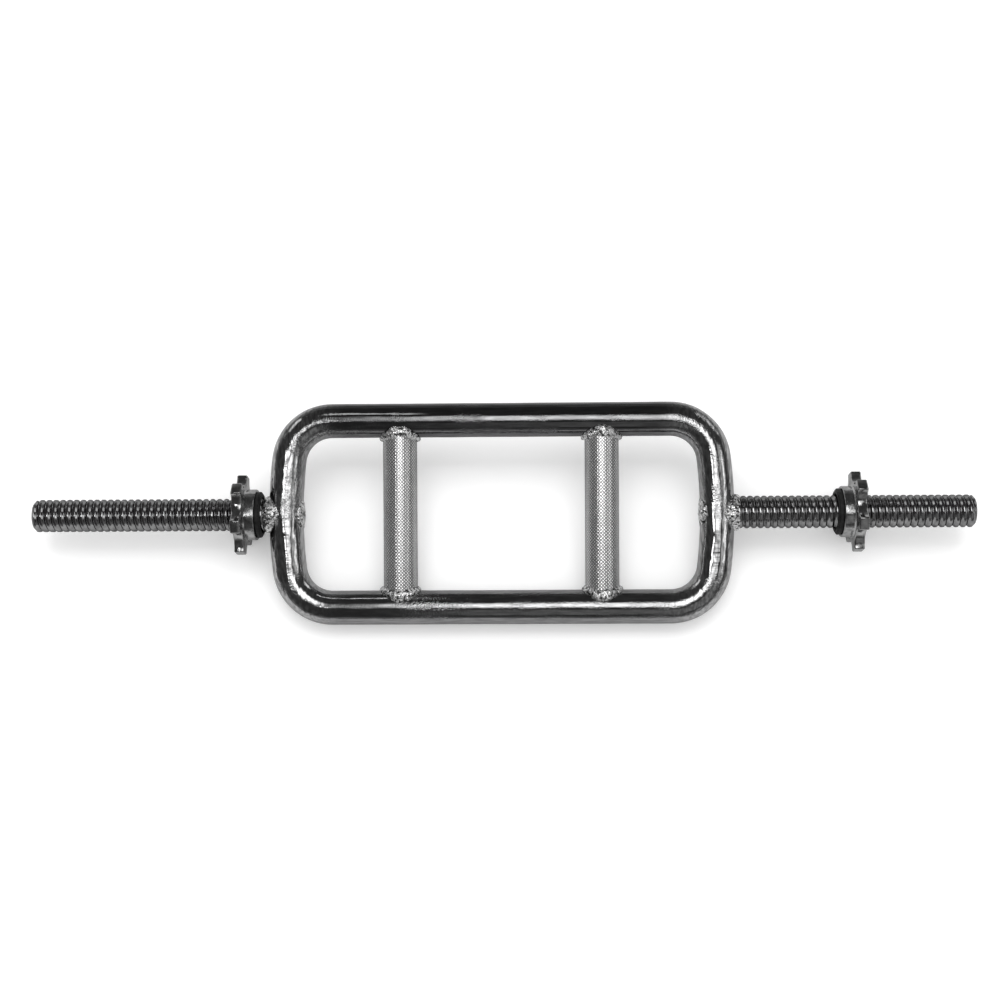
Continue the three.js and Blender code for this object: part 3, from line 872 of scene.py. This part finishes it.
# Noise patterns: scale, detail, and what the noise's low and high ends are worth. Where two more
# numbers follow, the noise between those two is spread over that range, and else the usual middle.
NOISE_MIDDLE = (0.35, 0.65)
PATTERNS = {
    "Chrome gloss": (40, 3, 0.5, 2.4),
    "Tube streaks": (420, 3, 0.75, 1.12),
    "Tube waves": (150, 3, 0.0, 1.0),
    "End streaks": (420, 3, 0.55, 1.15),
    "End waves": (75, 2, 0.0, 1.0),
    "Orange peel": (700, 2, 0.0, 1.0),
    "Peel patches": (20, 2, 0.05, 1.0, 0.48, 0.66),
    "Satin gloss": (160, 3, 0.8, 1.25),
    "Satin stains": (90, 3, 0.85, 1.05),
    "Satin grain": (2500, 2, 0.0, 1.0),
    "Thread gloss": (240, 3, 0.6, 1.6),
    "Thread stains": (150, 4, 0.7, 1.1),
    "Thread grain": (500, 2, 0.0, 1.0),
    "Bead gloss": (300, 2, 0.5, 2.0),
    "Bead stains": (380, 3, 0.1, 1.25, 0.39, 0.53),
    "Bead grain": (900, 2, 0.0, 1.0),
    "Star gloss": (200, 3, 0.6, 1.7),
    "Star stains": (170, 4, 0.6, 1.15),
    "Star grain": (650, 2, 0.0, 1.0),
    "Star swells": (150, 2, 0.0, 1.0),
    "Rubber gloss": (700, 2, 0.85, 1.2),
    "Rubber stains": (300, 3, 0.6, 1.6),
    "Rubber grain": (1600, 2, 0.0, 1.0),
}

# How high the patterns that are felt stand out
RELIEFS = {
    "Tube waves": 0.00007,
    "End waves": 0.00038,
    "Orange peel": 0.0001,
    "Satin grain": 0.00001,
    "Thread grain": 0.00003,
    "Bead grain": 0.0002,
    "Star grain": 0.00003,
    "Star swells": 0.00006,
    "Rubber grain": 0.00003,
}

# The chrome's streaks are drawn out along a tube. Its painted light, a lighter copy of the plating on the
# bent ends, starts and is full this far inside the end tubes, and its painted shade, a darker copy on the
# far long tube, this far across the bar's axis.
TUBE_STREAK_SHRINK = (0.16, 1, 1)
END_STREAK_SHRINK = (1, 0.25, 1)
LIT_BEND_FADE = (0.06, 0.01)
SHADED_FAR_FADE = (0.0, 0.06)

# Painted shade darkens the knurl below the first of these shares of its depth, and leaves it bright above
# the second
GROOVE_SHADE_DEPTHS = (0.85, 0.45)
# How dark the painted shade in the knurl's grooves is, as a share of the satin's colour
GROOVE_SHADE_SHARE = 0.34
SATIN_METALLIC = 0.8
RUBBER_SHINE = 0.25


def add(tree, kind, sockets=None, **settings):
    """Adds a node. sockets gives each named input a number or another node's output."""
    made = tree.nodes.new(kind)
    for name, value in settings.items():
        setattr(made, name, value)
    for name, value in (sockets or {}).items():
        if isinstance(value, bpy.types.NodeSocket):
            tree.links.new(value, made.inputs[name])
        else:
            made.inputs[name].default_value = value
    return made


def cleared_nodes(owner):
    """The nodes of a material or world, with none left."""
    owner.use_nodes = True
    owner.node_tree.nodes.clear()
    return owner.node_tree


def reckon(tree, operation, *values):
    """The result of a sum over numbers and other nodes' outputs."""
    return add(tree, "ShaderNodeMath", dict(enumerate(values)), operation=operation).outputs[0]


def place_on_piece(tree, turn=0.0, scale=(1, 1, 1)):
    """The place on the piece, turned about X, with its axes scaled."""
    coordinates = add(tree, "ShaderNodeTexCoord").outputs["Object"]
    sockets = {"Vector": coordinates, "Rotation": (turn, 0, 0), "Scale": scale}
    return add(tree, "ShaderNodeMapping", sockets).outputs["Vector"]


def speckle(tree, place_on, pattern, worth=1.0):
    """A noise pattern by name, as shares of what it is worth."""
    scale, detail, low, high, *middle = PATTERNS[pattern]
    from_low, from_high = middle or NOISE_MIDDLE
    noise = add(tree, "ShaderNodeTexNoise", {"Vector": place_on, "Scale": scale, "Detail": detail})
    sockets = {
        "Value": noise.outputs["Fac"],
        "From Min": from_low,
        "From Max": from_high,
        "To Min": low * worth,
        "To Max": high * worth,
    }
    return add(tree, "ShaderNodeMapRange", sockets).outputs["Result"]


def relief(tree, place_on, pattern, over=None, within=None):
    """The normal of a pattern that is felt, over another normal, and fading out with within."""
    height = speckle(tree, place_on, pattern)
    if within is not None:
        height = reckon(tree, "MULTIPLY", height, within)
    sockets = {"Height": height, "Distance": RELIEFS[pattern], "Strength": 1.0}
    if over is not None:
        sockets["Normal"] = over
    return add(tree, "ShaderNodeBump", sockets).outputs["Normal"]


def ramp(tree, value, start, end):
    """Zero where value is start, one where it is end, and smooth between."""
    sockets = {"Value": value, "From Min": start, "From Max": end}
    return add(tree, "ShaderNodeMapRange", sockets, interpolation_type="SMOOTHSTEP").outputs["Result"]


def mix(tree, factor, first, second, blend_type="MIX"):
    """Two colours mixed. Each is a colour or another node's output."""
    mixed = add(tree, "ShaderNodeMix", {"Factor": factor}, data_type="RGBA", blend_type=blend_type)
    for socket, value in ((mixed.inputs[6], first), (mixed.inputs[7], second)):
        if isinstance(value, bpy.types.NodeSocket):
            tree.links.new(value, socket)
        else:
            socket.default_value = (*value, 1.0)
    return mixed.outputs[2]


def shade(tree, base, factor):
    """The base colour, darkened or lightened by a factor that varies over the surface."""
    return mix(tree, 1.0, base, factor, blend_type="MULTIPLY")


def blank_surface(name):
    """A new material, its nodes and its shader."""
    made = bpy.data.materials.new(name)
    made.use_nodes = True
    return made, made.node_tree, made.node_tree.nodes["Principled BSDF"]


def plating(name, base, edge_tint):
    """A plated metal surface, whose patterns are added by the caller."""
    made, tree, shader = blank_surface(name)
    shader.inputs["Base Color"].default_value = (*base, 1.0)
    shader.inputs["Metallic"].default_value = 1.0
    shader.inputs["Specular Tint"].default_value = (edge_tint, edge_tint, edge_tint, 1.0)
    return made, tree, shader


def wire(tree, shader, base, roughness, normal):
    """Gives a shader its patterns."""
    tree.links.new(base, shader.inputs["Base Color"])
    tree.links.new(roughness, shader.inputs["Roughness"])
    tree.links.new(normal, shader.inputs["Normal"])


def wire_alike(tree, shader, place_on, kind, base, roughness):
    """Gives a shader the stains, gloss and grain of its kind of surface."""
    stained = shade(tree, base, speckle(tree, place_on, f"{kind} stains"))
    gloss = speckle(tree, place_on, f"{kind} gloss", roughness)
    grain = relief(tree, place_on, f"{kind} grain")
    wire(tree, shader, stained, gloss, grain)
    return grain


def chrome_surface(name, finishes, layout):
    """Bright chrome over a drawn tube. Waves run along the tube, strongest in the bent ends, and the polish
    is poor in patches of orange peel. Painted light makes the bent ends a lighter copy of the plating, and
    painted shade makes the far long tube a darker one."""
    made, tree, shader = plating(name, finishes.chrome, finishes.edge_tint)
    level = place_on_piece(tree, -layout.lean)
    along_x = place_on_piece(tree, -layout.lean, TUBE_STREAK_SHRINK)
    along_y = place_on_piece(tree, -layout.lean, END_STREAK_SHRINK)
    axes = add(tree, "ShaderNodeSeparateXYZ", {"Vector": level}).outputs
    sideways = reckon(tree, "ABSOLUTE", axes["X"])
    in_lit_end = ramp(tree, sideways, *(layout.end_x - inside for inside in LIT_BEND_FADE))
    in_shaded_far = ramp(tree, axes["Y"], *SHADED_FAR_FADE)
    # The far long tube gets the darker copy of the plating: painted shade
    straight = mix(tree, in_shaded_far, finishes.chrome, finishes.shaded_far_chrome)
    streaks = shade(tree, straight, speckle(tree, along_x, "Tube streaks"))
    # The bent ends get the lighter copy of the plating: painted light
    lit_end_streaks = shade(tree, finishes.lit_bend_chrome, speckle(tree, along_y, "End streaks"))
    end_waves = relief(tree, along_y, "End waves", within=in_lit_end)
    waves = relief(tree, along_x, "Tube waves", over=end_waves)
    patches = speckle(tree, level, "Peel patches")
    peel = relief(tree, level, "Orange peel", over=waves, within=patches)
    gloss = speckle(tree, level, "Chrome gloss", finishes.chrome_roughness)
    wire(tree, shader, mix(tree, in_lit_end, streaks, lit_end_streaks), gloss, peel)
    return made


def satin_surface(name, finishes, layout):
    """Satin chrome over the knurl, with painted shade in its grooves."""
    made, tree, shader = plating(name, finishes.satin, finishes.satin_edge_tint)
    shader.inputs["Metallic"].default_value = SATIN_METALLIC
    level = place_on_piece(tree, -layout.lean)
    axes = add(tree, "ShaderNodeSeparateXYZ", {"Vector": level}).outputs
    across = reckon(tree, "SUBTRACT", reckon(tree, "ABSOLUTE", axes["X"]), layout.grip_x)
    up = reckon(tree, "SUBTRACT", axes["Z"], layout.axis_height * math.cos(layout.lean))
    spoke = add(tree, "ShaderNodeCombineXYZ", {"X": across, "Z": up}).outputs[0]
    radius = add(tree, "ShaderNodeVectorMath", {0: spoke}, operation="LENGTH").outputs["Value"]
    knurl_depth = layout.tube.knurl_depth
    crest = ramp(tree, radius, *(layout.grip_radius - share * knurl_depth for share in GROOVE_SHADE_DEPTHS))
    # The grooves' colour is painted shade: the satin darkened where the knurl is deep
    groove = tuple(GROOVE_SHADE_SHARE * part for part in finishes.satin)
    stained = shade(tree, finishes.satin, speckle(tree, level, "Satin stains"))
    gloss = speckle(tree, level, "Satin gloss", finishes.satin_roughness)
    wire(tree, shader, mix(tree, crest, groove, stained), gloss, relief(tree, level, "Satin grain"))
    return made


def thread_surface(name, finishes, layout):
    """Plated thread, a little uneven."""
    made, tree, shader = plating(name, finishes.thread, finishes.thread_edge_tint)
    level = place_on_piece(tree, -layout.lean)
    wire_alike(tree, shader, level, "Thread", finishes.thread, finishes.thread_roughness)
    return made


def weld_surface(name, finishes, layout):
    """Plating over a crumpled bead, darker and lighter in small spots at random."""
    made, tree, shader = plating(name, finishes.weld, finishes.edge_tint)
    level = place_on_piece(tree, -layout.lean)
    wire_alike(tree, shader, level, "Bead", finishes.weld, finishes.weld_roughness)
    return made


def star_surface(name, finishes, _layout):
    """Plating over a cast star: an uneven skin with a fine grain."""
    made, tree, shader = plating(name, finishes.star, finishes.edge_tint)
    place_on = place_on_piece(tree)
    grain = wire_alike(tree, shader, place_on, "Star", finishes.star, finishes.star_roughness)
    tree.links.new(relief(tree, place_on, "Star swells", over=grain), shader.inputs["Normal"])
    return made


def rubber_surface(name, finishes, _layout):
    """Matt moulded rubber with a fine grain and a little dust."""
    made, tree, shader = blank_surface(name)
    shader.inputs["Specular IOR Level"].default_value = RUBBER_SHINE
    place_on = place_on_piece(tree)
    wire_alike(tree, shader, place_on, "Rubber", finishes.rubber, finishes.rubber_roughness)
    return made


# The record's material slots, and the name and maker of each one's surface
SURFACES = {
    "chrome": ("Bright chrome", chrome_surface),
    "knurled_grip": ("Satin knurled chrome", satin_surface),
    "threaded_sleeve": ("Plated thread", thread_surface),
    "weld_bead": ("Plated weld bead", weld_surface),
    "cast_star": ("Plated casting", star_surface),
    "rubber": ("Moulded rubber", rubber_surface),
}


def surface(slot, layout):
    """The surface of a slot, made the first time that a piece asks for it."""
    name, make = SURFACES[slot]
    return bpy.data.materials.get(name) or make(name, layout.finishes, layout)


# Finished pieces


def finish(obj, name, body, slot, layout, *nodes):
    """Names a finished piece, gives it its surface, hangs it on its body's empty and hides the parts that
    it stands in for.
    """
    place(obj)
    obj.name = name
    obj.data.name = name
    obj.data.materials.clear()
    obj.data.materials.append(surface(slot, layout))
    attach(obj, body)
    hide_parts(*nodes)


def finish_on_bar(obj, name, slot, layout, node):
    """Leans and lifts a piece of the bar to its place at rest, and finishes it."""
    obj.rotation_euler.x = layout.lean
    obj.location.z = layout.axis_height
    finish(obj, name, "bar", slot, layout, node)


# Stage

WHITE = (1, 1, 1, 1)
FLOOR_WIDTH = 60
KEY_PLACE = (0, 1.2, 2.3)
KEY_SIZE = (2.4, 1.4)

# The painted reflection of the floor darkens over these distances behind the bar and past its ends
FLOOR_FADE_BEHIND = (0.42, 0.12)
FLOOR_FADE_PAST = (1.3, 0.7)

# The room's glow fades in with the view's slope: low down, and round on the camera's side
GLOW_FADE_LOW = (0.3, 0.05)
GLOW_FADE_NEAR = (-0.3, -0.8)

# A card's own coordinates run from 0 to 1, so its edges are this far from its middle
CARD_MIDDLE = (0.5, 0.5, 0.0)
CARD_EDGE = 0.5


def floor_surface(studio):
    """A matt white floor that keeps the bar's shadow. The plating mirrors it darker, in colours painted for
    mirrored rays alone, and darker still far from the bar: a painted reflection.
    """
    made = bpy.data.materials.new("White floor")
    tree = cleared_nodes(made)
    path = add(tree, "ShaderNodeLightPath").outputs
    coordinates = add(tree, "ShaderNodeTexCoord").outputs["Object"]
    axes = add(tree, "ShaderNodeSeparateXYZ", {"Vector": coordinates}).outputs
    behind = ramp(tree, axes["Y"], *FLOOR_FADE_BEHIND)
    past = ramp(tree, reckon(tree, "ABSOLUTE", axes["X"]), *FLOOR_FADE_PAST)
    close = reckon(tree, "MULTIPLY", behind, past)
    mirrored = mix(tree, close, studio.floor_faded, studio.floor_mirrored)
    colours = mix(tree, path["Is Glossy Ray"], studio.floor_colour, mirrored)
    matt = add(tree, "ShaderNodeBsdfDiffuse", {"Color": colours})
    lift = reckon(tree, "MULTIPLY", path["Is Camera Ray"], studio.floor_lift)
    glow = add(tree, "ShaderNodeEmission", {"Color": WHITE, "Strength": lift})
    both = add(tree, "ShaderNodeAddShader", {0: matt.outputs[0], 1: glow.outputs[0]})
    add(tree, "ShaderNodeOutputMaterial", {"Surface": both.outputs[0]})
    return made


def build_world(scene):
    """A white background for the camera, an even fill for the surfaces, and a dim room for the
    plating to mirror, which is lighter low down, above all on the camera's side."""
    studio = scene.studio
    scene.world = scene.world or bpy.data.worlds.new("Studio")
    tree = cleared_nodes(scene.world)
    direction = add(tree, "ShaderNodeTexCoord").outputs["Generated"]
    axes = add(tree, "ShaderNodeSeparateXYZ", {"Vector": direction}).outputs
    glow = mix(tree, ramp(tree, axes["Y"], *GLOW_FADE_NEAR), studio.low_glow, studio.near_glow)
    room = mix(tree, ramp(tree, axes["Z"], *GLOW_FADE_LOW), studio.room, glow)
    path = add(tree, "ShaderNodeLightPath").outputs
    mirrored = reckon(tree, "MAXIMUM", path["Is Glossy Ray"], path["Is Transmission Ray"])
    lit = mix(tree, mirrored, (studio.fill, studio.fill, studio.fill), room)
    shown = mix(tree, path["Is Camera Ray"], lit, studio.background)
    background = add(tree, "ShaderNodeBackground", {"Color": shown})
    add(tree, "ShaderNodeOutputWorld", {"Surface": background.outputs[0]})


def aim_down_at_bar(obj, location):
    """Puts obj at location and tilts it about X or Y alone to face the bar."""
    obj.location = location
    x, y, z = location
    if abs(x) > abs(y):
        obj.rotation_euler.y = math.atan2(x, z)
    else:
        obj.rotation_euler.x = -math.atan2(y, z)


def key_lamp(power):
    """A large soft lamp behind the bar, that lights the floor and isn't mirrored."""
    bpy.ops.object.light_add(type="AREA")
    made = bpy.context.object
    made.name = "Soft key"
    aim_down_at_bar(made, KEY_PLACE)
    made.data.shape = "RECTANGLE"
    made.data.size, made.data.size_y = KEY_SIZE
    made.data.energy = power
    made.visible_camera = False
    made.visible_glossy = False


def card(name, location, size, brightness, softness):
    """A glowing card with soft edges that only the plating mirrors."""
    made = bpy.data.materials.new(name)
    tree = cleared_nodes(made)
    coordinates = add(tree, "ShaderNodeTexCoord").outputs["UV"]
    sockets = {0: coordinates, 1: CARD_MIDDLE}
    from_middle = add(tree, "ShaderNodeVectorMath", sockets, operation="SUBTRACT").outputs[0]
    distance = add(tree, "ShaderNodeVectorMath", {0: from_middle}, operation="ABSOLUTE").outputs[0]
    axes = add(tree, "ShaderNodeSeparateXYZ", {"Vector": distance}).outputs
    inner = CARD_EDGE * (1 - softness)
    fades = (ramp(tree, axes[axis], CARD_EDGE, inner) for axis in "XY")
    shown = reckon(tree, "MULTIPLY", *fades)
    glow = add(tree, "ShaderNodeEmission", {"Color": WHITE, "Strength": brightness})
    clear = add(tree, "ShaderNodeBsdfTransparent")
    mixed = add(tree, "ShaderNodeMixShader", {0: shown, 1: clear.outputs[0], 2: glow.outputs[0]})
    add(tree, "ShaderNodeOutputMaterial", {"Surface": mixed.outputs[0]})
    bpy.ops.mesh.primitive_plane_add(size=1)
    sheet = bpy.context.object
    sheet.name = name
    sheet.scale = (*size, 1)
    aim_down_at_bar(sheet, location)
    sheet.data.materials.append(made)
    for kind in ("camera", "diffuse", "transmission", "volume_scatter", "shadow"):
        setattr(sheet, f"visible_{kind}", False)


def build_camera(scene, layout):
    """A long lens above the bar, square to its leaning frame but for a small yaw."""
    studio = scene.studio
    elevation = studio.camera_elevation
    upward = Vector((0, math.sin(elevation), math.cos(elevation)))
    yaw = Matrix.Rotation(studio.camera_yaw, 3, upward)
    outward = yaw @ Vector((0, -math.cos(elevation), math.sin(elevation)))
    right = yaw @ Vector((1, 0, 0))
    aim = Vector((0, 0, layout.axis_height)) - right * studio.aim_right + upward * studio.aim_down
    bpy.ops.object.camera_add()
    camera = bpy.context.object
    camera.name = "Camera"
    camera.data.lens = studio.lens
    roll = Matrix.Rotation(-studio.camera_roll, 3, "Z")
    facing = Matrix((right, upward, outward)).transposed() @ roll
    place_at = Matrix.Translation(aim + outward * studio.camera_distance)
    camera.matrix_world = place_at @ facing.to_4x4()
    scene.camera = camera


# Operators


class BARBUILD_OT_frame_tubes(bpy.types.Operator):
    """Bends the two halves of the frame from round tube"""

    bl_idname = "barbuild.frame_tubes"
    bl_label = "Frame tubes"

    def execute(self, context):
        layout = Layout(context.scene)
        for hand, side in SIDES.items():
            tube = bent_tube(layout, side)
            finish_on_bar(tube, f"bent_tube_{hand}", "chrome", layout, f"frame_{hand}_half")
        return {"FINISHED"}


class BARBUILD_OT_seam_welds(bpy.types.Operator):
    """Joins the two halves with a dressed weld in each long tube"""

    bl_idname = "barbuild.seam_welds"
    bl_label = "Seam welds"

    def execute(self, context):
        layout = Layout(context.scene)
        for where, across in ACROSS.items():
            ring = seam_weld(layout, across)
            finish_on_bar(ring, f"seam_weld_{where}", "chrome", layout, f"frame_butt_weld_{where}")
        return {"FINISHED"}


class BARBUILD_OT_grips(bpy.types.Operator):
    """Knurls and copes the two cross grips"""

    bl_idname = "barbuild.grips"
    bl_label = "Knurled grips"

    def execute(self, context):
        layout = Layout(context.scene)
        for hand, side in SIDES.items():
            grip = knurled_grip(layout, side)
            finish_on_bar(grip, f"knurled_grip_{hand}", "knurled_grip", layout, f"{hand}_grip")
        return {"FINISHED"}


class BARBUILD_OT_grip_beads(bpy.types.Operator):
    """Lays the four beads that hold the grips"""

    bl_idname = "barbuild.grip_beads"
    bl_label = "Grip welds"

    def execute(self, context):
        layout = Layout(context.scene)
        phases = iter(GRIP_BEAD_PHASES)
        for hand, side in SIDES.items():
            for where, across in ACROSS.items():
                bead = grip_bead(layout, side, across, next(phases))
                name, node = f"grip_bead_{hand}_{where}", f"{hand}_grip_weld_{where}"
                finish_on_bar(bead, name, "weld_bead", layout, node)
        return {"FINISHED"}


class BARBUILD_OT_sleeves(bpy.types.Operator):
    """Cuts the two threaded sleeves"""

    bl_idname = "barbuild.sleeves"
    bl_label = "Threaded sleeves"

    def execute(self, context):
        layout = Layout(context.scene)
        for hand, side in SIDES.items():
            sleeve = threaded_sleeve(layout, side)
            finish_on_bar(sleeve, f"threaded_sleeve_{hand}", "threaded_sleeve", layout, f"{hand}_sleeve")
        return {"FINISHED"}


class BARBUILD_OT_sleeve_beads(bpy.types.Operator):
    """Lays the beads on both faces of each end tube, round the sleeve and its spigot"""

    bl_idname = "barbuild.sleeve_beads"
    bl_label = "Sleeve welds"

    def execute(self, context):
        layout = Layout(context.scene)
        for (hand, side), (outer_phase, inner_phase) in zip(SIDES.items(), SLEEVE_BEAD_PHASES):
            outer = sleeve_bead(layout, side, outer_phase)
            finish_on_bar(outer, f"sleeve_bead_{hand}", "weld_bead", layout, f"{hand}_sleeve_weld")
            inner = plug_bead(layout, side, inner_phase)
            finish_on_bar(inner, f"plug_bead_{hand}", "weld_bead", layout, f"{hand}_plug_weld")
        return {"FINISHED"}


class BARBUILD_OT_collars(bpy.types.Operator):
    """Casts the star nuts and moulds their rubber rings"""

    bl_idname = "barbuild.collars"
    bl_label = "Star collars"

    def execute(self, context):
        layout = Layout(context.scene)
        for hand, side in SIDES.items():
            low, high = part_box(f"{hand}_rubber_ring")
            face_x = low.x if side > 0 else high.x
            star = star_nut(layout, side, face_x)
            finish(star, f"star_nut_{hand}", f"{hand}_star", "cast_star", layout, f"{hand}_star_nut")
            ring = rubber_ring(layout, side, face_x)
            finish(ring, f"rubber_ring_{hand}", f"{hand}_ring", "rubber", layout, f"{hand}_rubber_ring")
        return {"FINISHED"}


class BARBUILD_OT_studio(bpy.types.Operator):
    """Sets the floor, the lamps and the camera"""

    bl_idname = "barbuild.studio"
    bl_label = "Studio"

    def execute(self, context):
        scene = context.scene
        bpy.ops.mesh.primitive_plane_add(size=FLOOR_WIDTH)
        floor = context.object
        floor.name = "floor"
        floor.data.materials.append(floor_surface(scene.studio))
        build_world(scene)
        key_lamp(scene.studio.key_power)
        for name, facts in CARDS.items():
            card(name, *facts)
        build_camera(scene, Layout(scene))
        scene.view_settings.view_transform = "Standard"
        return {"FINISHED"}


class BARBUILD_PT_panel(bpy.types.Panel):
    """Lists the steps that build the bar"""

    bl_idname = "BARBUILD_PT_panel"
    bl_label = "Triceps bar"
    bl_space_type = "VIEW_3D"
    bl_region_type = "UI"
    bl_category = "Triceps bar"

    def draw(self, context):
        for step in STEPS:
            self.layout.operator(step.bl_idname)


STEPS = (
    BARBUILD_OT_frame_tubes,
    BARBUILD_OT_seam_welds,
    BARBUILD_OT_grips,
    BARBUILD_OT_grip_beads,
    BARBUILD_OT_sleeves,
    BARBUILD_OT_sleeve_beads,
    BARBUILD_OT_collars,
    BARBUILD_OT_studio,
)
SETTINGS = {
    "frame_sizes": FrameSizes,
    "sleeve_sizes": SleeveSizes,
    "weld_sizes": WeldSizes,
    "collar_sizes": CollarSizes,
    "finishes": Finishes,
    "studio": StudioSettings,
}


def register():
    for name, group in SETTINGS.items():
        bpy.utils.register_class(group)
        setattr(bpy.types.Scene, name, PointerProperty(type=group))
    for step in STEPS:
        bpy.utils.register_class(step)
    bpy.utils.register_class(BARBUILD_PT_panel)


def unregister():
    bpy.utils.unregister_class(BARBUILD_PT_panel)
    for step in reversed(STEPS):
        bpy.utils.unregister_class(step)
    for name, group in reversed(SETTINGS.items()):
        delattr(bpy.types.Scene, name)
        bpy.utils.unregister_class(group)


def main():
    register()
    bpy.ops.barbuild.frame_tubes()
    bpy.ops.barbuild.seam_welds()
    bpy.ops.barbuild.grips()
    bpy.ops.barbuild.grip_beads()
    bpy.ops.barbuild.sleeves()
    bpy.ops.barbuild.sleeve_beads()
    bpy.ops.barbuild.collars()
    bpy.ops.barbuild.studio()


if __name__ == "__main__":
    main()
